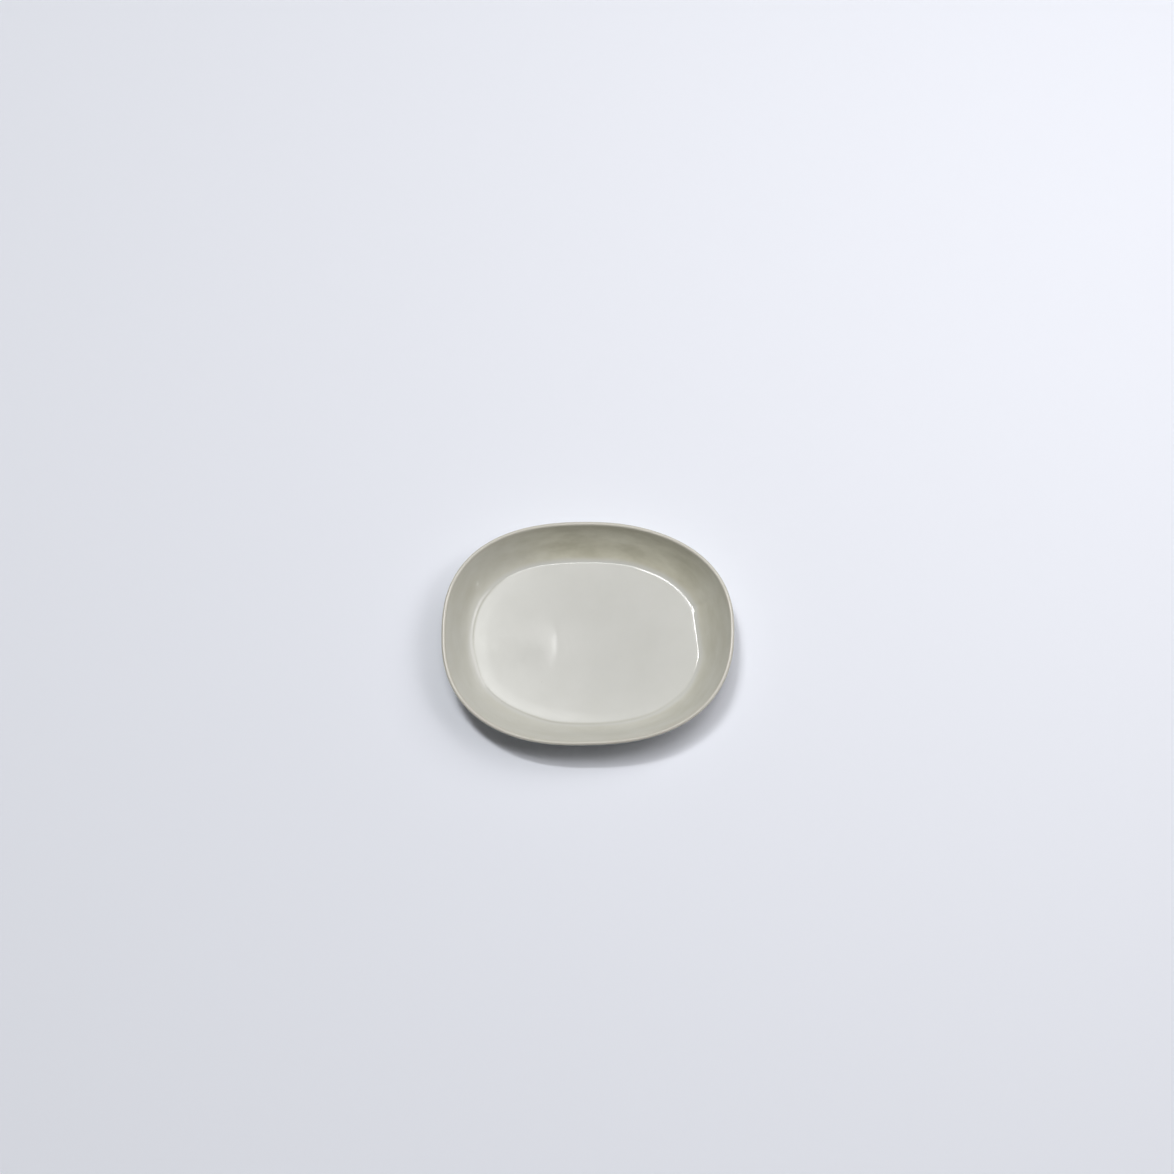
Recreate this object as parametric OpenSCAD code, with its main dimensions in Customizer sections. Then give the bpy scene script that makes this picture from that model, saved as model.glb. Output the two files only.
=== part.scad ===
// Oval plate: a hand-formed stoneware dish with a coved wall, a glaze coat and a bare foot ring.
// Millimetres. The origin is the middle of the foot's resting plane, +X along the length, +Z up.

/* [Plate] */
// Overall length, along X
plate_length = 200; // [160:1:260]
// Overall width, along Y
plate_width = 158; // [130:1:210]
// Overall height, from the foot's resting plane to the top of the rim
plate_height = 31; // [28:0.5:40]
// Squareness of the oval: 2 is an ellipse, more is squarer
oval_power = 2.4; // [2:0.05:3]

/* [Wall and floor] */
// Thickness of the rim, glaze included
rim_thickness = 3; // [2.6:0.1:4.5]
// Level distance from the rim's outer edge in to the floor's edge
wall_run = 21.4; // [19:0.2:25]
// Thickness of the clay floor at its edge
floor_thickness = 4.4; // [4:0.1:6]
// How much lower the floor's middle is than its edge
floor_dish = 0.5; // [0:0.1:1]
// Level reach of the soft crease on each side of the floor's edge
crease_reach = 3; // [2:0.5:5]

/* [Foot] */
// Height of the foot ring
foot_height = 3; // [2:0.1:4]
// Width of the foot ring
foot_width = 5; // [3:0.5:7]
// Bare clay left between the glaze's lower edge and the foot ring
bare_strip = 1.5; // [0.5:0.1:3]

/* [Glaze] */
// Thickness of the fired glaze
glaze_thickness = 0.35; // [0.2:0.05:0.5]

/* [Hand work] */
// How far the rim's outline strays from a true oval
outline_sway = 0.4; // [0:0.1:1]
// How far the rim's height rises and falls round the plate
rim_sway = 0.8; // [0:0.1:1.2]
// Direction of the flat pressed into the floor's edge, in degrees from +X
flat_direction = 6; // [-30:1:30]
// Depth of that flat
flat_depth = 1.2; // [0:0.1:2]

/* [Hidden] */

// Points round each ring, and rows on each stretch of the cross-section
ring_points = 64;
outer_rows = 7;
rim_rows = 6;
inner_rows = 7;
crease_rows = 3;
floor_rows = 4;

clay_colour = [0.80, 0.74, 0.66];
glaze_colour = [0.71, 0.70, 0.63];

// Levels of the clay, under its glaze
floor_level = foot_height + floor_thickness;
crest_level = plate_height - glaze_thickness;
rim_half = rim_thickness / 2 - glaze_thickness;
shoulder_level = crest_level - rim_half;

// Slopes of the wall in degrees from the level, and how far they hold as a share of the wall's height
outer_top_slope = 78;
outer_foot_slope = 24;
outer_hold = 0.5;
inner_top_slope = 70;
inner_floor_slope = 22;
inner_hold = 0.42;
// Share of the inner curve at which the crease begins
crease_start = 0.86;
// How far outside the floor's edge the outer curve meets the underside
foot_line_setback = 0.3;

// The outline

// Distance from the middle to a true oval's edge
function oval_radius(angle) =
    pow(pow(abs(cos(angle)) * 2 / plate_length, oval_power)
        + pow(abs(sin(angle)) * 2 / plate_width, oval_power), -1 / oval_power);

// Slow waves that the hand leaves in the outline and in the height of the rim:
// [crests round the plate, strength, direction of the first crest times their number]
outline_waves = [[2, 0.5, 105], [3, 1.6, 5], [4, 0.6, 10], [5, 0.7, 40], [6, 0.3, 75]];
height_waves = [[2, 0.3, -50], [3, 0.2, 100]];
function sum_of(values, last) = last < 0 ? 0 : values[last] + sum_of(values, last - 1);
function wave(waves, angle) =
    sum_of([for (w = waves) w[1] * cos(w[0] * angle - w[2])], len(waves) - 1);
function outline_wave(angle) = outline_sway * wave(outline_waves, angle);
function height_wave(angle) = rim_sway * wave(height_waves, angle);

function rim_radius(angle) = oval_radius(angle) + outline_wave(angle);

// How much a straight flat takes off the floor's edge
flat_half_angle = 60;
flat_distance = rim_radius(flat_direction) - wall_run - flat_depth;
function angle_between(a, b) = (a - b + 540) % 360 - 180;
function flat_cut(angle) =
    let (away = angle_between(angle, flat_direction))
    abs(away) > flat_half_angle ? 0
    : max(0, rim_radius(angle) - wall_run - flat_distance / cos(away));

// The cross-section: stations [inset from the rim, share of the radius left there, height, pull of the flat]

function ray(slope, length) = [cos(slope), -sin(slope)] * length;
function bezier(p, t) =
    pow(1 - t, 3) * p[0] + 3 * pow(1 - t, 2) * t * p[1] + 3 * (1 - t) * t * t * p[2] + pow(t, 3) * p[3];
function bend(p, t) = pow(1 - t, 2) * p[0] + 2 * (1 - t) * t * p[1] + t * t * p[2];

outer_hold_length = outer_hold * (shoulder_level - foot_height);
outer_shoulder = [glaze_thickness, shoulder_level];
foot_line = [wall_run - foot_line_setback, foot_height];
outer_curve = [
    foot_line,
    foot_line - ray(outer_foot_slope, outer_hold_length),
    outer_shoulder + ray(outer_top_slope, outer_hold_length),
    outer_shoulder
];

inner_hold_length = inner_hold * (shoulder_level - floor_level);
inner_shoulder = [rim_thickness - glaze_thickness, shoulder_level];
floor_edge = [wall_run, floor_level];
inner_curve = [
    inner_shoulder,
    inner_shoulder + ray(inner_top_slope, inner_hold_length),
    floor_edge - ray(inner_floor_slope, inner_hold_length),
    floor_edge
];
crease_curve = [bezier(inner_curve, crease_start), floor_edge, floor_edge + [crease_reach, 0]];

function wall_station(p, pull) = [p[0], 1, p[1], pull];
function flat_pull(inset) = pow(max(0, min(1, inset / wall_run)), 2);
function floor_station(share) =
    [wall_run + crease_reach, share, floor_level - floor_dish * (1 - share * share), share];

section = concat(
    [for (k = [0 : outer_rows - 1]) wall_station(bezier(outer_curve, k / outer_rows), 0)],
    [for (k = [0 : rim_rows - 1])
        let (turn = 180 * k / rim_rows)
        wall_station(outer_shoulder + rim_half * [1 - cos(turn), sin(turn)], 0)],
    [for (k = [0 : inner_rows - 1])
        let (p = bezier(inner_curve, crease_start * k / inner_rows))
        wall_station(p, flat_pull(p[0]))],
    [for (k = [0 : crease_rows - 1])
        let (p = bend(crease_curve, k / crease_rows))
        wall_station(p, flat_pull(p[0]))],
    [for (k = [0 : floor_rows - 1]) floor_station(1 - k / floor_rows)]
);
rows = len(section);

// The glaze stands square to the clay: sideways and up, both in millimetres
function run_between(a, b) = [a[0] - b[0], b[2] - a[2]];
function outward(i) =
    section[i][0] > wall_run ? [0, 1]
    : let (step = run_between(section[max(0, i - 1)], section[i + 1]))
      [step[1], -step[0]] / norm(step);
function glazed(i) =
    let (s = section[i], n = outward(i) * glaze_thickness)
    [s[0] - n[0], s[1], s[2] + n[1], s[3]];
glazed_section = [for (i = [0 : rows - 1]) glazed(i)];

// Points of the plate

directions = [for (k = [0 : ring_points - 1]) 360 * k / ring_points];
highest_wave = max([for (angle = directions) height_wave(angle)]);
function raw_point(station, angle) =
    let (r = station[1] * (rim_radius(angle) - station[0] - station[3] * flat_cut(angle)),
         rise = max(0, station[2] - floor_level) / (plate_height - floor_level))
    [r * cos(angle), r * sin(angle), station[2] + rise * (height_wave(angle) - highest_wave)];

// The outline is moved and stretched so that its box has the overall length and width
rim_raw = [for (angle = directions) raw_point([0, 1, shoulder_level, 0], angle)];
low_corner = [min([for (p = rim_raw) p[0]]), min([for (p = rim_raw) p[1]])];
high_corner = [max([for (p = rim_raw) p[0]]), max([for (p = rim_raw) p[1]])];
middle = (low_corner + high_corner) / 2;
stretch = [plate_length / (high_corner[0] - low_corner[0]), plate_width / (high_corner[1] - low_corner[1])];
function placed(p) = [(p[0] - middle[0]) * stretch[0], (p[1] - middle[1]) * stretch[1], p[2]];

function ring(station) = [for (angle = directions) placed(raw_point(station, angle))];
function skin_points(stations) = [for (s = stations) each ring(s)];
function flat_outline(inset) = [for (p = ring([inset, 1, 0, 0])) [p[0], p[1]]];

// Faces between two rings, and from a ring to one point
function band_faces(low, high) = [
    for (k = [0 : ring_points - 1])
        let (next = (k + 1) % ring_points)
        each [[low + k, high + next, low + next], [low + k, high + k, high + next]]
];
function fan_faces(low, pole) =
    [for (k = [0 : ring_points - 1]) [low + k, pole, low + (k + 1) % ring_points]];
function skin_faces(first) = concat(
    [for (i = [0 : rows - 2]) each band_faces(first + i * ring_points, first + (i + 1) * ring_points)],
    fan_faces(first + (rows - 1) * ring_points, first + rows * ring_points)
);
function turned(faces) = [for (f = faces) [f[2], f[1], f[0]]];

skin_size = rows * ring_points + 1;
floor_middle = placed([0, 0, floor_level - floor_dish]);

// The fired clay: floor, coved wall and rim in one piece, flat underneath
module clay_body() {
    under_middle = placed([0, 0, foot_height]);
    color(clay_colour)
        polyhedron(
            points = concat(skin_points(section), [floor_middle, under_middle]),
            faces = concat(skin_faces(0), turned(fan_faces(0, skin_size)))
        );
}

// The ring of bare clay under the floor that the plate stands on
foot_inset = foot_line[0] + bare_strip;
cut_margin = 1;
module foot_ring() {
    color(clay_colour)
        difference() {
            linear_extrude(foot_height) polygon(flat_outline(foot_inset));
            translate([0, 0, -cut_margin])
                linear_extrude(foot_height + 2 * cut_margin) polygon(flat_outline(foot_inset + foot_width));
        }
}

// The glass coat, from the foot's edge up the outside, over the rim and across the inside
module glaze_coat() {
    top_middle = floor_middle + [0, 0, glaze_thickness];
    color(glaze_colour)
        polyhedron(
            points = concat(skin_points(glazed_section), [top_middle], skin_points(section), [floor_middle]),
            faces = concat(skin_faces(0), turned(skin_faces(skin_size)), turned(band_faces(0, skin_size)))
        );
}

// The patch of glaze under the floor, inside the foot ring
module base_glaze() {
    color(glaze_colour)
        translate([0, 0, foot_height - glaze_thickness])
            linear_extrude(glaze_thickness) polygon(flat_outline(foot_inset + foot_width));
}

clay_body();
foot_ring();
glaze_coat();
base_glaze();
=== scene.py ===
import math

import bmesh
import bpy
from mathutils import Matrix, Vector, noise


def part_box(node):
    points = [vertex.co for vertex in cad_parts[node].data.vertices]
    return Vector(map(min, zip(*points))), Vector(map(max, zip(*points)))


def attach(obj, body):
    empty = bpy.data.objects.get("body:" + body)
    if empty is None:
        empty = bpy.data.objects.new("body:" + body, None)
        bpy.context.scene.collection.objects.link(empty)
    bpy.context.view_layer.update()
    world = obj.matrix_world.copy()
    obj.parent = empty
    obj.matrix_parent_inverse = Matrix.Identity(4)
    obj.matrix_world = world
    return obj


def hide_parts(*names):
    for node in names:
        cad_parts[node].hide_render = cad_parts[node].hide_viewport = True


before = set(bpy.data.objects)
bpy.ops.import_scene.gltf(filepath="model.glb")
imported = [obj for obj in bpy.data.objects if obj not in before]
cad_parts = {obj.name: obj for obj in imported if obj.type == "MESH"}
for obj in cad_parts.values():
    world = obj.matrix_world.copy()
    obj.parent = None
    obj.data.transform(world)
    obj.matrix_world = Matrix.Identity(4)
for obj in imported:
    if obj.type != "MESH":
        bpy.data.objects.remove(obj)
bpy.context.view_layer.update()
print("frame loaded:", sorted(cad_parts))

mm = 0.001
scene = bpy.context.scene
scene.view_settings.view_transform = "Standard"


# The plate's form. Lengths are in metres unless a note says mm, directions in degrees from +X.

glazeLow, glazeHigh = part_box("glaze_coat")
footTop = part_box("foot_ring")[1].z

plate = {
    "length": glazeHigh.x - glazeLow.x,
    "width": glazeHigh.y - glazeLow.y,
    "height": glazeHigh.z,
    "footHeight": footTop,
    "ovalPower": 2.4,
    "rimThickness": 3.0 * mm,
    "wallRun": 21.4 * mm,
    "footLineSetback": 0.3 * mm,
    "glazeThickness": 0.35 * mm,
    # Waves are (crests round the plate, strength, phase in degrees)
    "outlineSway": 0.4 * mm,
    "outlineWaves": ((2, 0.5, 105), (3, 1.6, 5), (4, 0.6, 10), (5, 0.7, 40), (6, 0.3, 75)),
    "rimSway": 0.8 * mm,
    "rimWaves": ((2, 0.3, -50), (3, 0.2, 100)),
    # Slopes in degrees, outside at the rim and at the foot line, inside by (direction, slope).
    # A hold is how far its slope lasts, as a share of the wall's height.
    "outerSlopes": (78, 24),
    "outerHold": 0.5,
    "innerTopSlope": ((0, 57), (40, 68), (90, 72), (140, 58), (185, 54), (270, 52), (320, 56)),
    "innerTopHold": 0.58,
    "innerFootSlope": ((0, 16), (60, 16), (125, 15), (160, 12), (185, 13), (215, 18), (270, 24), (310, 20)),
    "innerFootHold": 0.34,
    "turns": 480,  # points round each ring
}
crestLevel = plate["height"] - plate["glazeThickness"]
rimHalf = plate["rimThickness"] / 2 - plate["glazeThickness"]
shoulderLevel = crestLevel - rimHalf

# The floor: an oval of its own, with one straight stretch and a small tooth at its upper end.
# Pairs are (direction, mm): how far the edge strays, how round the stretch's ends are, how soft the crease
# is, how much the floor's edge stands above the floor, and how far in that rise reaches.
floorForm = {
    "thickness": 4.1 * mm,
    "dish": 0.25 * mm,
    "endRun": 21.4 * mm,
    "sideRun": 21.6 * mm,
    "power": 2.35,
    "forward": 0.9 * mm,
    "nudge": ((0, -0.5), (30, 0.1), (52, 0.0), (80, 0.0), (108, 0.0), (135, 1.0), (155, 0.4), (178, 0.0),
              (193, -1.2), (206, -0.5), (226, -0.7), (250, 0.8), (268, 0.8), (307, 0.9), (326, 0.0),
              (345, -0.9)),
    "flatDirection": 6.8,
    "flatDistance": 76.1 * mm,
    "flatHalfAngle": 60,
    "cornerBlend": ((-25, 2.6), (0, 1.2), (12, 0.1), (30, 0.1), (60, 0.9)),
    "toothDirection": 17.4,
    "toothHalfAngle": 1.6,
    "tooth": 0.7 * mm,
    "soft": ((-27, 0.15), (-12, 0.2), (-4, 0.4), (13, 0.7), (20, 1.0), (52, 0.9), (66, 0.4), (130, 0.4),
             (165, 0.7), (200, 0.5), (250, 0.5), (300, 0.8), (318, 0.8)),
    "edgeRise": ((-20, 0.02), (-8, 0.09), (12, 0.14), (18, 0.20), (50, 0.17), (64, 0.03), (165, 0.03),
                 (190, 0.02), (210, -0.03), (234, -0.03), (246, -0.01), (262, 0.0), (320, 0.03)),
    "reach": ((-20, 4.0), (-8, 3.8), (12, 3.8), (18, 3.4), (50, 3.0), (64, 5.0), (140, 8.0), (185, 9.0),
              (240, 9.0), (268, 7.0), (320, 6.0)),
    "risePower": 2,
}
floorLevel = plate["footHeight"] + floorForm["thickness"]


def clamp01(value):
    return max(0.0, min(1.0, value))


def smooth01(value):
    value = clamp01(value)
    return value * value * (3 - 2 * value)


def fade(value, start, end):
    return smooth01((value - start) / (end - start))


def sumOfWaves(waves, turn):
    return sum(size * math.cos(crests * turn - math.radians(phase)) for crests, size, phase in waves)


# Reads a list of (direction, value) at one direction, eased from each pair to the next
def roundPlate(pairs, turn):
    degrees = math.degrees(turn)
    for (fromTurn, fromValue), (toTurn, toValue) in zip(pairs, pairs[1:] + pairs[:1]):
        span = (toTurn - fromTurn) % 360
        along = (degrees - fromTurn) % 360
        if along <= span:
            return fromValue + (toValue - fromValue) * smooth01(along / span)


def ovalRadius(halfLength, halfWidth, power, turn):
    along = (abs(math.cos(turn)) / halfLength) ** power
    across = (abs(math.sin(turn)) / halfWidth) ** power
    return (along + across) ** (-1 / power)


def rimRadius(turn):
    oval = ovalRadius(plate["length"] / 2, plate["width"] / 2, plate["ovalPower"], turn)
    return oval + plate["outlineSway"] * sumOfWaves(plate["outlineWaves"], turn)


def softLeast(a, b, blend):
    near = max(0.0, blend - abs(a - b)) / blend
    return min(a, b) - near * near * blend / 4


def creaseRadius(turn):
    halfLength = plate["length"] / 2 - floorForm["endRun"]
    halfWidth = plate["width"] / 2 - floorForm["sideRun"]
    oval = ovalRadius(halfLength, halfWidth, floorForm["power"], turn)
    oval -= floorForm["forward"] * math.sin(turn)
    oval += roundPlate(floorForm["nudge"], turn) * mm
    fromFlat = math.remainder(turn - math.radians(floorForm["flatDirection"]), 2 * math.pi)
    if abs(fromFlat) > math.radians(floorForm["flatHalfAngle"]):
        return oval
    fromTooth = math.remainder(turn - math.radians(floorForm["toothDirection"]), 2 * math.pi)
    tooth = floorForm["tooth"] * math.exp(-(fromTooth / math.radians(floorForm["toothHalfAngle"])) ** 2)
    blend = roundPlate(floorForm["cornerBlend"], turn) * mm
    return softLeast(oval, floorForm["flatDistance"] / math.cos(fromFlat), blend) + tooth


# Cross-section: points are (inset from the rim's outer edge, height)

def ray(slope, length):
    return Vector((math.cos(math.radians(slope)), -math.sin(math.radians(slope)))) * length


def bezier(points, t):
    a, b, c, d = points
    return a * (1 - t) ** 3 + b * 3 * t * (1 - t) ** 2 + c * 3 * t * t * (1 - t) + d * t ** 3


def bezierAlong(points, t):
    a, b, c, d = points
    return (b - a) * (1 - t) ** 2 + (c - b) * 2 * t * (1 - t) + (d - c) * t * t


def bend(points, t):
    a, b, c = points
    return a * (1 - t) ** 2 + b * 2 * t * (1 - t) + c * t * t


def crossing(a, alongA, b, alongB):
    gap = b - a
    return a + alongA * (gap.cross(alongB) / alongA.cross(alongB))


outerHold = plate["outerHold"] * (shoulderLevel - plate["footHeight"])
outerShoulder = Vector((plate["glazeThickness"], shoulderLevel))


# The rim is round. Its points are counted by the turn over it, from the outside.
def rimPoint(over):
    return outerShoulder + Vector((1 - math.cos(over), math.sin(over))) * rimHalf


rimStart = math.radians(90 - plate["outerSlopes"][0])
footLine = Vector((plate["wallRun"] - plate["footLineSetback"], plate["footHeight"]))
outerCurve = (
    footLine,
    footLine - ray(plate["outerSlopes"][1], outerHold),
    rimPoint(rimStart) + ray(plate["outerSlopes"][0], outerHold),
    rimPoint(rimStart),
)


# The section at one direction runs from the foot line up the outside, over the rim, down the wall,
# through the crease and in over the floor to the middle. Its points come back as (radius, height).
def sectionAt(turn, rows):
    rim = rimRadius(turn)
    run = rim - creaseRadius(turn)
    soft = roundPlate(floorForm["soft"], turn) * mm
    edgeRise = roundPlate(floorForm["edgeRise"], turn) * mm
    reach = roundPlate(floorForm["reach"], turn) * mm
    power = floorForm["risePower"]
    edge = Vector((run, floorLevel + edgeRise))
    topSlope = roundPlate(plate["innerTopSlope"], turn)
    rimEnd = math.radians(90 + topSlope)
    wallTop = rimPoint(rimEnd)
    wallHeight = wallTop.y - edge.y
    fromRim = ray(topSlope, plate["innerTopHold"] * wallHeight)
    toEdge = ray(roundPlate(plate["innerFootSlope"], turn), plate["innerFootHold"] * wallHeight)
    wall = (wallTop, wallTop + fromRim, edge - toEdge, edge)
    wallEnd = 1 - soft / (3 * toEdge.length)  # about as far short of the edge as the crease is soft

    def floorEdge(inward):
        return Vector((run + inward, floorLevel + edgeRise * (1 - inward / reach) ** power))

    edgeAlong = Vector((1, -power * edgeRise * (1 - soft / reach) ** (power - 1) / reach))
    bendStart = bezier(wall, wallEnd)
    corner = crossing(bendStart, bezierAlong(wall, wallEnd), floorEdge(soft), edgeAlong)
    creaseCurve = (bendStart, corner, floorEdge(soft))

    points = [bezier(outerCurve, k / rows["outer"]) for k in range(rows["outer"])]
    points += [rimPoint(rimStart + (rimEnd - rimStart) * k / rows["rim"]) for k in range(rows["rim"])]
    points += [bezier(wall, wallEnd * k / rows["wall"]) for k in range(rows["wall"])]
    points += [bend(creaseCurve, k / rows["crease"]) for k in range(rows["crease"])]
    points += [floorEdge(soft + (reach - soft) * k / rows["edge"]) for k in range(rows["edge"])]
    for k in range(rows["floor"]):
        share = 1 - k / rows["floor"]
        inset = rim - (rim - run - reach) * share
        points.append(Vector((inset, floorLevel - floorForm["dish"] * (1 - share * share))))
    return [Vector((rim - point.x, point.y)) for point in points]


# Slow unevenness that the hand leaves on the inside, fine ridges on the wall, and one shallow thumb mark in
# the floor. Levels are heights between which an effect fades in.
handWork = {
    "rimFade": 6 * mm,
    "slowSize": 48 * mm,
    "slowDepth": 0.08 * mm,
    "fastSize": 17 * mm,
    "fastDepth": 0.02 * mm,
    "fastShift": Vector((7, 3, 5)),
    "markEdge": (-21.2 * mm, -3.5 * mm),
    "markRound": 40 * mm,
    "markSlope": 0.034,
    "markRun": 7 * mm,
    "markHalfWidth": 12 * mm,
    "markReturn": 70 * mm,
    "markLevels": (11 * mm, 8 * mm),
    "ridges": 0.01 * mm,
    "ridgeSpacing": 3.4 * mm,
    "ridgeLevels": (12 * mm, 18 * mm),
}


# Dips from a crisp edge on its right, which is a little round, and comes back slowly to the left
def thumbMark(point):
    x = point.x - handWork["markEdge"][0]
    y = point.y - handWork["markEdge"][1]
    inside = max(0.0, handWork["markRound"] - math.hypot(x + handWork["markRound"], y))
    run = handWork["markRun"]
    depth = handWork["markSlope"] * run * math.erf(inside / run) * math.sqrt(math.pi) / 2
    across = math.exp(-(y / handWork["markHalfWidth"]) ** 2)
    return depth * across * (1 - smooth01((inside - run) / handWork["markReturn"]))


def unevenness(point):
    belowRim = fade(point.z, plate["height"], plate["height"] - handWork["rimFade"])
    slow = handWork["slowDepth"] * noise.noise(point / handWork["slowSize"])
    fast = handWork["fastDepth"] * noise.noise(point / handWork["fastSize"] + handWork["fastShift"])
    mark = thumbMark(point) * fade(point.z, *handWork["markLevels"])
    ridge = handWork["ridges"] * math.cos(2 * math.pi * point.z / handWork["ridgeSpacing"])
    ridge *= fade(point.z, *handWork["ridgeLevels"])
    return belowRim * (slow + fast - mark + ridge)


turnsRound = [2 * math.pi * k / plate["turns"] for k in range(plate["turns"])]
rimOutline = [Vector((math.cos(t), math.sin(t))) * rimRadius(t) for t in turnsRound]
outlineLow = Vector((min(p.x for p in rimOutline), min(p.y for p in rimOutline)))
outlineHigh = Vector((max(p.x for p in rimOutline), max(p.y for p in rimOutline)))
outlineMiddle = (outlineLow + outlineHigh) / 2
stretch = Vector((
    plate["length"] / (outlineHigh.x - outlineLow.x),
    plate["width"] / (outlineHigh.y - outlineLow.y),
))
highestRim = max(sumOfWaves(plate["rimWaves"], t) for t in turnsRound)


def placed(radius, turn, level):
    return Vector((
        (radius * math.cos(turn) - outlineMiddle.x) * stretch.x,
        (radius * math.sin(turn) - outlineMiddle.y) * stretch.y,
        level,
    ))


def swayAt(turn, level):
    rise = max(0.0, level - floorLevel) / (plate["height"] - floorLevel)
    return rise * plate["rimSway"] * (sumOfWaves(plate["rimWaves"], turn) - highestRim)


# The rings of the whole section. coatAt gives how thick a coat stands on each of its stations.
def formRings(rows, coatAt):
    sections = [sectionAt(turn, rows) for turn in turnsRound]
    stationCount = len(sections[0])
    firstInside = rows["outer"] + rows["rim"]
    rings = []
    for k in range(stationCount):
        ring = []
        for turn, section in zip(turnsRound, sections):
            here = section[k]
            step = section[min(k + 1, stationCount - 1)] - section[max(k - 1, 0)]
            out, up = Vector((step.y, -step.x)).normalized()
            lift = coatAt(k)
            if k >= firstInside:
                lift += unevenness(placed(here.x, turn, here.y))
            ring.append(placed(here.x + out * lift, turn, here.y + swayAt(turn, here.y) + up * lift))
        rings.append(ring)
    return rings


# Ring-by-ring modelling: a circle is extruded edge by edge, and each new ring is set on the form

def setRing(ring, places):
    for vert, place in zip(ring, places):
        vert.co = place


def startRing(mesh, places):
    ring = bmesh.ops.create_circle(mesh, cap_ends=False, segments=plate["turns"], radius=1.0)["verts"]
    ring.sort(key=lambda v: math.atan2(v.co.y, v.co.x) % (2 * math.pi))
    edges = list({edge for vert in ring for edge in vert.link_edges})
    setRing(ring, places)
    return ring, edges


def nextRing(mesh, ring, edges):
    extruded = bmesh.ops.extrude_edge_only(mesh, edges=edges)["geom"]
    newVerts = {v for v in extruded if isinstance(v, bmesh.types.BMVert)}
    newEdges = [e for e in extruded if isinstance(e, bmesh.types.BMEdge) and set(e.verts) <= newVerts]
    newRing = []
    for vert in ring:
        newRing.append(next(e.other_vert(vert) for e in vert.link_edges if e.other_vert(vert) in newVerts))
    return newRing, newEdges


def runRings(mesh, ring, edges, rings):
    for places in rings:
        ring, edges = nextRing(mesh, ring, edges)
        setRing(ring, places)
    return ring, edges


def runToPoint(mesh, ring, edges, rings):
    last = runRings(mesh, ring, edges, rings)[0]
    bmesh.ops.pointmerge(mesh, verts=last, merge_co=sum((v.co for v in last), Vector()) / len(last))


def levelRing(inset, level, share=1.0):
    return [placed(share * (rimRadius(turn) - inset), turn, level) for turn in turnsRound]


def finishMesh(mesh, name, material, node):
    bmesh.ops.recalc_face_normals(mesh, faces=mesh.faces)
    for face in mesh.faces:
        face.smooth = True
    data = bpy.data.meshes.new(name)
    mesh.to_mesh(data)
    mesh.free()
    data.materials.append(material)
    piece = bpy.data.objects.new(name, data)
    scene.collection.objects.link(piece)
    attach(piece, "root")
    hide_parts(node)
    print("made", name, "with", len(data.polygons), "faces")


# Node helpers

def addNode(tree, kind, spot, **settings):
    node = tree.nodes.new(kind)
    node.location = spot
    for name, value in settings.items():
        if hasattr(node, name):
            setattr(node, name, value)
        else:
            node.inputs[name.replace("_", " ")].default_value = value
    return node


def newGroup(name, inputs, outputs):
    group = bpy.data.node_groups.new(name, "ShaderNodeTree")
    for label, kind, value in inputs:
        socket = group.interface.new_socket(label, in_out="INPUT", socket_type=kind)
        if value is not None:
            socket.default_value = value
    for label, kind in outputs:
        group.interface.new_socket(label, in_out="OUTPUT", socket_type=kind)
    start = addNode(group, "NodeGroupInput", (-600, 0))
    end = addNode(group, "NodeGroupOutput", (600, 0))
    return group, start, end


# Puts a group into a material with its own values, and gives back its mask
def placeMask(tree, group, spot, place, values):
    node = addNode(tree, "ShaderNodeGroup", spot, node_tree=group)
    for name, value in values.items():
        node.inputs[name].default_value = value
    tree.links.new(place, node.inputs["Place"])
    return node.outputs["Mask"]


# Clouds: slow, soft changes of tone, as where a glaze or a clay body isn't quite even
def makeCloudGroup():
    group, start, end = newGroup(
        "firedClouds",
        [("Place", "NodeSocketVector", None), ("Size", "NodeSocketFloat", 30.0),
         ("Contrast", "NodeSocketFloat", 1.0)],
        [("Mask", "NodeSocketFloat")],
    )
    link = group.links.new
    clouds = addNode(group, "ShaderNodeTexNoise", (-300, 100), Detail=3.0, Roughness=0.55)
    centred = addNode(group, "ShaderNodeMath", (0, 100), operation="SUBTRACT")
    centred.inputs[1].default_value = 0.5
    spread = addNode(group, "ShaderNodeMath", (200, 100), operation="MULTIPLY")
    back = addNode(group, "ShaderNodeMath", (400, 100), operation="ADD", use_clamp=True)
    back.inputs[1].default_value = 0.5
    link(start.outputs["Place"], clouds.inputs["Vector"])
    link(start.outputs["Size"], clouds.inputs["Scale"])
    link(clouds.outputs["Fac"], centred.inputs[0])
    link(centred.outputs[0], spread.inputs[0])
    link(start.outputs["Contrast"], spread.inputs[1])
    link(spread.outputs[0], back.inputs[0])
    link(back.outputs[0], end.inputs["Mask"])
    return group


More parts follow.
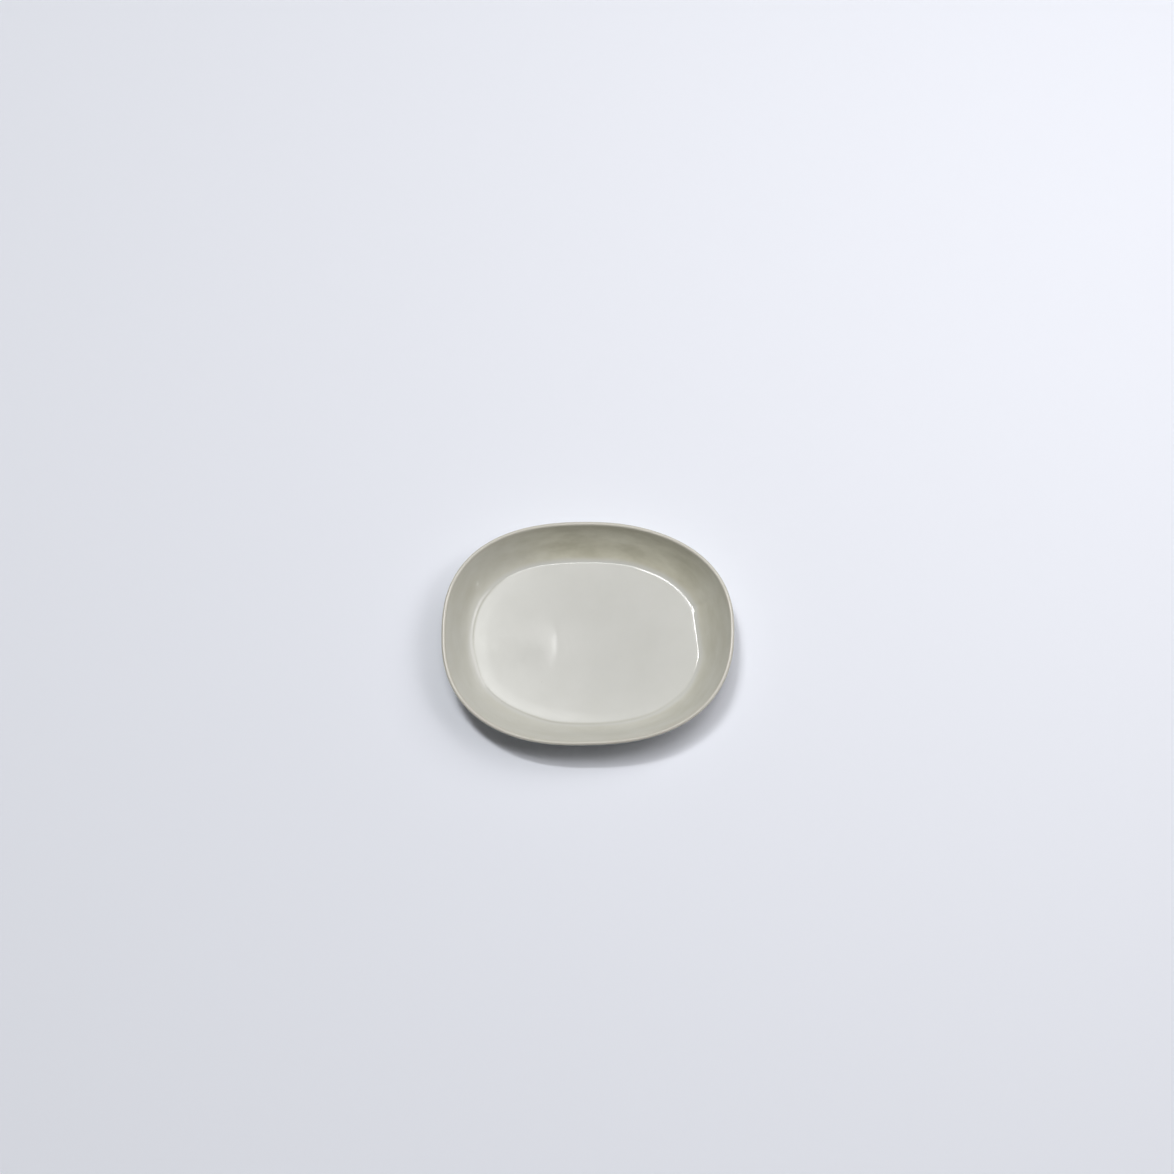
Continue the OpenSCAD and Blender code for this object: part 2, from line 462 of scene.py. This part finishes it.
# Specks: small dots of iron or grit, scattered
def makeSpeckGroup():
    group, start, end = newGroup(
        "ironSpecks",
        [("Place", "NodeSocketVector", None), ("Spacing", "NodeSocketFloat", 200.0),
         ("Radius", "NodeSocketFloat", 0.1), ("Share", "NodeSocketFloat", 0.2)],
        [("Mask", "NodeSocketFloat")],
    )
    link = group.links.new
    cells = addNode(group, "ShaderNodeTexVoronoi", (-300, 100), feature="F1")
    dot = addNode(group, "ShaderNodeMapRange", (0, 150), interpolation_type="SMOOTHSTEP")
    dot.inputs["To Min"].default_value = 1.0
    dot.inputs["To Max"].default_value = 0.0
    parts = addNode(group, "ShaderNodeSeparateColor", (-100, -100))
    chosen = addNode(group, "ShaderNodeMath", (100, -100), operation="LESS_THAN")
    kept = addNode(group, "ShaderNodeMath", (300, 50), operation="MULTIPLY")
    link(start.outputs["Place"], cells.inputs["Vector"])
    link(start.outputs["Spacing"], cells.inputs["Scale"])
    link(cells.outputs["Distance"], dot.inputs["Value"])
    link(start.outputs["Radius"], dot.inputs["From Max"])
    link(cells.outputs["Color"], parts.inputs["Color"])
    link(parts.outputs["Red"], chosen.inputs[0])
    link(start.outputs["Share"], chosen.inputs[1])
    link(dot.outputs["Result"], kept.inputs[0])
    link(chosen.outputs[0], kept.inputs[1])
    link(kept.outputs[0], end.inputs["Mask"])
    return group


cloudGroup = makeCloudGroup()
speckGroup = makeSpeckGroup()


def colourSocket(node, name):
    return next(s for s in list(node.inputs) + list(node.outputs) if s.name == name and s.type == "RGBA")


# Lays a colour by a mask over what is below it, which is a plain colour or another layer
def layTone(tree, spot, below, colour, mask):
    node = addNode(tree, "ShaderNodeMix", spot, data_type="RGBA")
    colourSocket(node, "B").default_value = colour
    tree.links.new(mask, node.inputs["Factor"])
    if isinstance(below, tuple):
        colourSocket(node, "A").default_value = below
    else:
        tree.links.new(below, colourSocket(node, "A"))
    return colourSocket(node, "Result")


def addBump(tree, shader, spot, height, strength, distance):
    bump = addNode(tree, "ShaderNodeBump", spot, Strength=strength, Distance=distance)
    tree.links.new(height, bump.inputs["Height"])
    tree.links.new(bump.outputs["Normal"], shader.inputs["Normal"])


def startMaterial(name):
    material = bpy.data.materials.new(name)
    material.use_nodes = True
    tree = material.node_tree
    tree.nodes.clear()
    output = addNode(tree, "ShaderNodeOutputMaterial", (900, 0))
    shader = addNode(tree, "ShaderNodeBsdfPrincipled", (600, 0))
    place = addNode(tree, "ShaderNodeTexCoord", (-900, 0))
    tree.links.new(shader.outputs["BSDF"], output.inputs["Surface"])
    return material, tree, shader, place.outputs["Object"]


# Glaze: glossy grey-green glass, thin on the rim. On the wall it is warmer and streaky, partly glaze
# variation and partly painted shade and bounce-light tint, most at the back; in the crease it is deeper,
# partly pooled glaze and partly painted shade.
glazeFinish = {
    "light": (0.592, 0.597, 0.568, 1),
    "deep": (0.553, 0.559, 0.526, 1),
    "toneClouds": {"Size": 38.0, "Contrast": 1.6},
    # warm and streak: painted shade and bounce-light tint on the wall, most at the back, partly glaze
    # variation
    "warmShade": (0.604, 0.594, 0.490, 1),
    "streakShade": (0.450, 0.438, 0.343, 1),
    "streakClouds": {"Size": 50.0, "Contrast": 2.8},
    "streakStretch": (1, 1, 3),
    "streakShadeShare": 0.8,
    "thin": (0.530, 0.514, 0.452, 1),
    # pooled: painted shade in the crease, partly glaze gathered there
    "pooledShade": (0.420, 0.415, 0.350, 1),
    "speck": (0.20, 0.17, 0.13, 1),
    "specks": {"Spacing": 220.0, "Radius": 0.07, "Share": 0.05},
    "gloss": (0.07, 0.13),
    "glossClouds": {"Size": 160.0, "Contrast": 1.5},
    "rimGloss": 0.24,
    "ior": 1.5,
    "ripple": 0.05 * mm,
    "rippleStrength": 0.25,
    "rippleClouds": {"Size": 240.0, "Contrast": 1.0},
}


def makeGlazeMaterial():
    material, tree, shader, place = startMaterial("glossyCeladonGlaze")
    link = tree.links.new
    # These masks carry painted shade: the warm one on the wall, the pooled one in the crease
    warmShade = addNode(tree, "ShaderNodeAttribute", (-600, 650), attribute_name="warmShadeGlaze").outputs["Fac"]
    thin = addNode(tree, "ShaderNodeAttribute", (-600, 450), attribute_name="thinGlaze").outputs["Fac"]
    pooledShade = addNode(tree, "ShaderNodeAttribute", (-600, 850), attribute_name="pooledShadeGlaze").outputs["Fac"]

    stretched = addNode(tree, "ShaderNodeMapping", (-1100, 1050), Scale=glazeFinish["streakStretch"])
    link(place, stretched.inputs["Vector"])
    along = stretched.outputs["Vector"]
    streaks = placeMask(tree, cloudGroup, (-900, 1050), along, glazeFinish["streakClouds"])
    onWall = addNode(tree, "ShaderNodeMath", (-700, 1050), operation="MULTIPLY")
    link(warmShade, onWall.inputs[0])
    link(streaks, onWall.inputs[1])
    share = addNode(tree, "ShaderNodeMath", (-500, 1050), operation="MULTIPLY")
    share.inputs[1].default_value = glazeFinish["streakShadeShare"]
    link(onWall.outputs[0], share.inputs[0])

    clouds = placeMask(tree, cloudGroup, (-600, 200), place, glazeFinish["toneClouds"])
    specks = placeMask(tree, speckGroup, (-600, -50), place, glazeFinish["specks"])
    colour = layTone(tree, (-350, 200), glazeFinish["light"], glazeFinish["deep"], clouds)
    # Painted shade and bounce-light tint: the warm tone and its darker streaks, most at the back of the
    # wall
    colour = layTone(tree, (-200, 400), colour, glazeFinish["warmShade"], warmShade)
    colour = layTone(tree, (-50, 600), colour, glazeFinish["streakShade"], share.outputs[0])
    colour = layTone(tree, (100, 200), colour, glazeFinish["thin"], thin)
    # Painted shade in the crease, partly pooled glaze
    colour = layTone(tree, (250, 400), colour, glazeFinish["pooledShade"], pooledShade)
    colour = layTone(tree, (400, 200), colour, glazeFinish["speck"], specks)
    link(colour, shader.inputs["Base Color"])

    glossClouds = placeMask(tree, cloudGroup, (-600, -250), place, glazeFinish["glossClouds"])
    gloss = addNode(tree, "ShaderNodeMapRange", (-300, -250))
    gloss.inputs["To Min"].default_value = glazeFinish["gloss"][0]
    gloss.inputs["To Max"].default_value = glazeFinish["gloss"][1]
    link(glossClouds, gloss.inputs["Value"])
    rimGloss = addNode(tree, "ShaderNodeMix", (0, -250), data_type="FLOAT")
    rimGloss.inputs["B"].default_value = glazeFinish["rimGloss"]
    link(thin, rimGloss.inputs["Factor"])
    link(gloss.outputs["Result"], rimGloss.inputs["A"])
    link(rimGloss.outputs["Result"], shader.inputs["Roughness"])

    ripple = placeMask(tree, cloudGroup, (-600, -450), place, glazeFinish["rippleClouds"])
    addBump(tree, shader, (0, -450), ripple, glazeFinish["rippleStrength"], glazeFinish["ripple"])
    shader.inputs["IOR"].default_value = glazeFinish["ior"]
    return material


# Clay: bare, dry and gritty where the foot was wiped clean
clayFinish = {
    "light": (0.66, 0.56, 0.45, 1),
    "deep": (0.56, 0.46, 0.36, 1),
    "toneClouds": {"Size": 90.0, "Contrast": 1.8},
    "grit": (0.30, 0.22, 0.16, 1),
    "gritSpecks": {"Spacing": 900.0, "Radius": 0.22, "Share": 0.3},
    "grain": 0.12 * mm,
    "grainStrength": 0.6,
    "grainClouds": {"Size": 1400.0, "Contrast": 2.0},
    "roughness": 0.88,
}


def makeClayMaterial():
    material, tree, shader, place = startMaterial("bareStoneware")
    clouds = placeMask(tree, cloudGroup, (-600, 200), place, clayFinish["toneClouds"])
    grit = placeMask(tree, speckGroup, (-600, -50), place, clayFinish["gritSpecks"])
    colour = layTone(tree, (-300, 200), clayFinish["light"], clayFinish["deep"], clouds)
    colour = layTone(tree, (0, 200), colour, clayFinish["grit"], grit)
    tree.links.new(colour, shader.inputs["Base Color"])
    grain = placeMask(tree, cloudGroup, (-600, -300), place, clayFinish["grainClouds"])
    addBump(tree, shader, (0, -300), grain, clayFinish["grainStrength"], clayFinish["grain"])
    shader.inputs["Roughness"].default_value = clayFinish["roughness"]
    return material


glazeMaterial = makeGlazeMaterial()
clayMaterial = makeClayMaterial()
print("materials made")


# Clay body: the form without its coat, closed flat underneath

clayBody = {
    "rows": {"outer": 8, "rim": 6, "wall": 8, "crease": 3, "edge": 2, "floor": 4},
    "underShares": (0.8, 0.5, 0.2),
}


def noCoat(station):
    return 0.0


def makeClayBody():
    mesh = bmesh.new()
    form = formRings(clayBody["rows"], noCoat)
    firstRing, firstEdges = startRing(mesh, form[0])
    runToPoint(mesh, firstRing, firstEdges, form[1:])
    under = [levelRing(footLine.x, plate["footHeight"], share) for share in clayBody["underShares"]]
    runToPoint(mesh, firstRing, firstEdges, under)
    finishMesh(mesh, "clayBody", clayMaterial, "clay_body")


# Glaze coat: over the rim and the whole inside, and down the outside to the foot line.
# Shares are (direction, share) of the warm tone and the pooled tone, which are both partly painted shade.
# They fade in between their levels.
glazeCoat = {
    "rows": {"outer": 18, "rim": 14, "wall": 28, "crease": 18, "edge": 10, "floor": 78},
    "lip": 0.9 * mm,
    "thinBand": (1.5 * mm, 1.3 * mm),  # how far below the crest it starts to thin, and over what height
    # The pooled tone is painted shade in the crease, partly pooled glaze; it is left off at the back
    "pooledShadeShare": ((0, 0.2), (60, 0.0), (130, 0.0), (160, 0.6), (200, 0.2), (245, 0.6), (300, 0.5),
                    (340, 0.2)),
    "pooledShadeReach": 0.9 * mm,
    "pooledShadeLevels": (14 * mm, 11 * mm),
    # The warm tone is painted shade and bounce-light tint, partly glaze variation; its share is highest at
    # the back
    "warmShadeShare": ((0, 0.5), (50, 1.0), (100, 1.0), (145, 0.45), (195, 0.25), (270, 0.3), (330, 0.4)),
    "warmShadeLevels": (7.5 * mm, 9.5 * mm),
}


def thinnessAt(point, turn):
    crest = plate["height"] + swayAt(turn, plate["height"])
    start, over = glazeCoat["thinBand"]
    return smooth01((point.z - (crest - start)) / over)


# The wall is painted warmer and darker, most of all at the back: partly glaze variation, partly painted
# shade and bounce-light tint
def warmShadeAt(point, turn):
    return roundPlate(glazeCoat["warmShadeShare"], turn) * fade(point.z, *glazeCoat["warmShadeLevels"])


# The crease is painted a deeper tone: partly glaze gathered there, partly painted shade in the groove
def pooledShadeAt(point, turn):
    edge = placed(creaseRadius(turn), turn, 0).xy.length
    away = math.hypot(point.x, point.y) - edge
    near = math.exp(-(away / glazeCoat["pooledShadeReach"]) ** 2)
    return roundPlate(glazeCoat["pooledShadeShare"], turn) * near * fade(point.z, *glazeCoat["pooledShadeLevels"])


def makeGlazeCoat():
    rows = glazeCoat["rows"]
    section = sectionAt(0.0, rows)
    lengths = [0.0]
    for before, after in zip(section, section[1:]):
        lengths.append(lengths[-1] + (after - before).length)

    def coatAt(station):
        near = 1 - clamp01(lengths[station] / glazeCoat["lip"])
        return plate["glazeThickness"] * math.sqrt(max(0.0, 1 - near * near))

    mesh = bmesh.new()
    outside = formRings(rows, coatAt)
    lipRing, lipEdges = startRing(mesh, outside[0])
    runToPoint(mesh, lipRing, lipEdges, outside[1:])
    runToPoint(mesh, lipRing, lipEdges, formRings(clayBody["rows"], noCoat)[1:])
    thin = mesh.verts.layers.float.new("thinGlaze")
    pooledShade = mesh.verts.layers.float.new("pooledShadeGlaze")
    warmShade = mesh.verts.layers.float.new("warmShadeGlaze")
    for vert in mesh.verts:
        turn = math.atan2(vert.co.y, vert.co.x)
        vert[thin] = thinnessAt(vert.co, turn)
        vert[pooledShade] = pooledShadeAt(vert.co, turn)
        vert[warmShade] = warmShadeAt(vert.co, turn)
    finishMesh(mesh, "glazeCoat", glazeMaterial, "glaze_coat")


# Foot ring, with its lower edges rubbed round

foot = {"bareStrip": 1.5 * mm, "width": 5.0 * mm, "softEdge": 0.9 * mm, "edgeSteps": 6, "sideStep": 0.6}
footInset = footLine.x + foot["bareStrip"]


def footProfile():
    height, width, soft = plate["footHeight"], foot["width"], foot["softEdge"]
    steps = [math.pi / 2 * k / foot["edgeSteps"] for k in range(foot["edgeSteps"] + 1)]
    points = [(0, height), (0, height * foot["sideStep"])]
    points += [(soft * (1 - math.cos(t)), soft * (1 - math.sin(t))) for t in steps]
    points += [(width - soft * (1 - math.sin(t)), soft * (1 - math.cos(t))) for t in steps]
    points += [(width, height * foot["sideStep"]), (width, height)]
    return points


def makeFootRing():
    mesh = bmesh.new()
    rings = [levelRing(footInset + inset, level) for inset, level in footProfile()]
    firstRing, firstEdges = startRing(mesh, rings[0])
    lastEdges = runRings(mesh, firstRing, firstEdges, rings[1:])[1]
    bmesh.ops.bridge_loops(mesh, edges=firstEdges + lastEdges)
    finishMesh(mesh, "footRing", clayMaterial, "foot_ring")


# Base glaze: a patch under the floor that thins out to a round edge against the foot

baseGlaze = {"edgeSteps": 6, "edge": 1.2 * mm, "shares": (0.85, 0.6, 0.35, 0.12)}


def makeBaseGlaze():
    mesh = bmesh.new()
    outer = footInset + foot["width"]
    top, thick, edge = plate["footHeight"], plate["glazeThickness"], baseGlaze["edge"]
    firstRing, firstEdges = startRing(mesh, levelRing(outer, top))
    below = []
    for k in range(1, baseGlaze["edgeSteps"] + 1):
        turn = math.pi / 2 * k / baseGlaze["edgeSteps"]
        below.append(levelRing(outer + edge * (1 - math.cos(turn)), top - thick * math.sin(turn)))
    below += [levelRing(outer + edge, top - thick, share) for share in baseGlaze["shares"]]
    runToPoint(mesh, firstRing, firstEdges, below)
    above = [levelRing(outer, top, share) for share in baseGlaze["shares"]]
    runToPoint(mesh, firstRing, firstEdges, above)
    finishMesh(mesh, "baseGlaze", glazeMaterial, "base_glaze")


makeGlazeCoat()
makeClayBody()
makeFootRing()
makeBaseGlaze()


# Pale floor, seen only from above

stageFloor = {"size": 12.0, "colour": (0.83, 0.86, 0.93, 1)}


def makeFloor():
    mesh = bmesh.new()
    bmesh.ops.create_grid(mesh, x_segments=1, y_segments=1, size=stageFloor["size"] / 2)
    data = bpy.data.meshes.new("paleFloor")
    mesh.to_mesh(data)
    mesh.free()
    material = bpy.data.materials.new("palePaper")
    material.use_nodes = True
    tree = material.node_tree
    tree.nodes.clear()
    link = tree.links.new
    output = addNode(tree, "ShaderNodeOutputMaterial", (600, 0))
    paper = addNode(tree, "ShaderNodeBsdfDiffuse", (0, 100), Color=stageFloor["colour"])
    clear = addNode(tree, "ShaderNodeBsdfTransparent", (0, -100))
    side = addNode(tree, "ShaderNodeNewGeometry", (0, 300))
    choose = addNode(tree, "ShaderNodeMixShader", (300, 0))
    link(side.outputs["Backfacing"], choose.inputs["Fac"])
    link(paper.outputs[0], choose.inputs[1])
    link(clear.outputs[0], choose.inputs[2])
    link(choose.outputs[0], output.inputs["Surface"])
    data.materials.append(material)
    floor = bpy.data.objects.new("paleFloor", data)
    scene.collection.objects.link(floor)


# Lamps stand above the plate along a slope (x and y for each metre up), and their size is for each metre up
# too. Their level is the light that they give the floor, where 1 shows a colour as it is written.

keyHeight = 5.0
plainColour = (1.0, 1.0, 1.0)
fillColour = (1.0, 0.972, 0.975)
lamps = {
    "keyLeft": {"slope": (-0.24, 0.298), "size": (0.18, 0.04), "turn": 174, "level": 0.25},
    "keyBend": {"slope": (-0.15, 0.225), "size": (0.16, 0.09), "turn": 90, "level": 0.13},
    "keyTail": {"slope": (-0.01, 0.12), "size": (0.16, 0.07), "turn": 139, "level": 0.06},
    "keyFar": {"slope": (0.09, 0.06), "size": (0.12, 0.14), "turn": 0, "level": 0.055},
    "veil": {"slope": (-0.094, 0.186), "size": (0.30, 0.115), "turn": 135, "level": 0.008},
    "veilHigh": {"slope": (-0.097, 0.26), "size": (0.056, 0.07), "turn": 0, "level": 0.0025},
    "innerGlow": {"slope": (-0.098, 0.212), "size": (0.44, 0.185), "turn": 118, "level": 0.026},
    "outerGlow": {"slope": (-0.093, 0.171), "size": (0.56, 0.225), "turn": 118, "level": 0.035},
    "windowHigh": {"slope": (0.24, 0.43), "size": (0.30, 0.30), "turn": 35, "level": 0.055,
                   "height": 1.6, "colour": fillColour},
    "farRight": {"slope": (0.65, 0.0), "size": (0.4, 0.4), "turn": 0, "level": 0.09,
                 "height": 3.0, "colour": fillColour},
    "windowFill": {"slope": (0.67, 0.45), "size": (0.7, 0.7), "turn": 124, "level": 0.185,
                   "height": 0.9, "colour": fillColour},
}


def makeLamps():
    for name, lamp in lamps.items():
        height = lamp.get("height", keyHeight)
        place = Vector((*lamp["slope"], 1.0)) * height
        light = bpy.data.lights.new(name, "AREA")
        light.shape = "RECTANGLE"
        light.size, light.size_y = (side * height for side in lamp["size"])
        # A flat lamp that faces the plate needs this power to give the floor its level
        light.energy = lamp["level"] * math.pi ** 2 * place.length ** 3 / place.z
        light.color = lamp.get("colour", plainColour)
        away = place.normalized()
        turn = math.radians(lamp["turn"])
        along = Vector((math.cos(turn), math.sin(turn), 0))
        along = (along - away * along.dot(away)).normalized()
        holder = bpy.data.objects.new(name, light)
        holder.location = place
        holder.rotation_mode = "QUATERNION"
        holder.rotation_quaternion = Matrix((along, away.cross(along), away)).transposed().to_quaternion()
        scene.collection.objects.link(holder)


# The room lights softly. Where the camera or a gloss looks at it, it shows pale on its window side.

room = {
    "light": 0.065,
    "lightColour": (1.0, 0.93, 0.86, 1),
    "seenFar": (0.20, 0.19, 0.18, 1),
    "seenNear": (0.98, 0.99, 1.0, 1),
    "nearSide": (0.6, 0.8, 0.0),
    "nearFade": (-0.6, 0.4),
}


def makeRoom():
    world = bpy.data.worlds.new("softRoom")
    world.use_nodes = True
    tree = world.node_tree
    tree.nodes.clear()
    link = tree.links.new
    output = addNode(tree, "ShaderNodeOutputWorld", (700, 0))
    light = addNode(tree, "ShaderNodeBackground", (200, 100),
                    Color=room["lightColour"], Strength=room["light"])
    seen = addNode(tree, "ShaderNodeBackground", (200, -100), Strength=1.0)
    facing = addNode(tree, "ShaderNodeTexCoord", (-700, -200))
    towards = addNode(tree, "ShaderNodeVectorMath", (-500, -200), operation="DOT_PRODUCT")
    towards.inputs[1].default_value = room["nearSide"]
    nearness = addNode(tree, "ShaderNodeMapRange", (-300, -200), interpolation_type="SMOOTHSTEP")
    nearness.inputs["From Min"].default_value = room["nearFade"][0]
    nearness.inputs["From Max"].default_value = room["nearFade"][1]
    link(facing.outputs["Object"], towards.inputs[0])
    link(towards.outputs["Value"], nearness.inputs["Value"])
    tone = layTone(tree, (-50, -200), room["seenFar"], room["seenNear"], nearness.outputs["Result"])
    link(tone, seen.inputs["Color"])
    path = addNode(tree, "ShaderNodeLightPath", (-300, 300))
    direct = addNode(tree, "ShaderNodeMath", (-50, 300), operation="MAXIMUM")
    anySeen = addNode(tree, "ShaderNodeMath", (200, 300), operation="MAXIMUM")
    choose = addNode(tree, "ShaderNodeMixShader", (450, 0))
    link(path.outputs["Is Camera Ray"], direct.inputs[0])
    link(path.outputs["Is Glossy Ray"], direct.inputs[1])
    link(direct.outputs[0], anySeen.inputs[0])
    link(path.outputs["Is Transmission Ray"], anySeen.inputs[1])
    link(anySeen.outputs[0], choose.inputs["Fac"])
    link(light.outputs[0], choose.inputs[1])
    link(seen.outputs[0], choose.inputs[2])
    link(choose.outputs[0], output.inputs["Surface"])
    scene.world = world


# Camera: the photograph's frame is square, and the plate's middle lies a little below its centre

camera = {
    "elevation": 75,
    "distance": 1.7,
    "aimLevel": 29 * mm,
    "framePixels": 1174,
    "plateCentrePixel": (588.0, 632.3),
    "plateLengthPixels": 293,
    "sensor": 36.0,
}


def makeCamera():
    tilt = math.radians(camera["elevation"])
    back = Vector((0, -math.cos(tilt), math.sin(tilt)))
    up = Vector((0, math.sin(tilt), math.cos(tilt)))
    aim = Vector((0, 0, camera["aimLevel"]))
    pixel = plate["length"] / camera["plateLengthPixels"]
    half = camera["framePixels"] / 2
    centreX, centreY = camera["plateCentrePixel"]
    target = aim + Vector((half - centreX, 0, 0)) * pixel + up * ((centreY - half) * pixel)
    data = bpy.data.cameras.new("photoCamera")
    data.sensor_width = camera["sensor"]
    data.lens = camera["sensor"] * camera["distance"] / (camera["framePixels"] * pixel)
    view = bpy.data.objects.new("photoCamera", data)
    view.location = aim + back * camera["distance"]
    view.rotation_mode = "QUATERNION"
    view.rotation_quaternion = (target - view.location).to_track_quat("-Z", "Y")
    scene.collection.objects.link(view)
    scene.camera = view


makeFloor()
makeLamps()
makeRoom()
makeCamera()
print("stage, lamps and camera made")
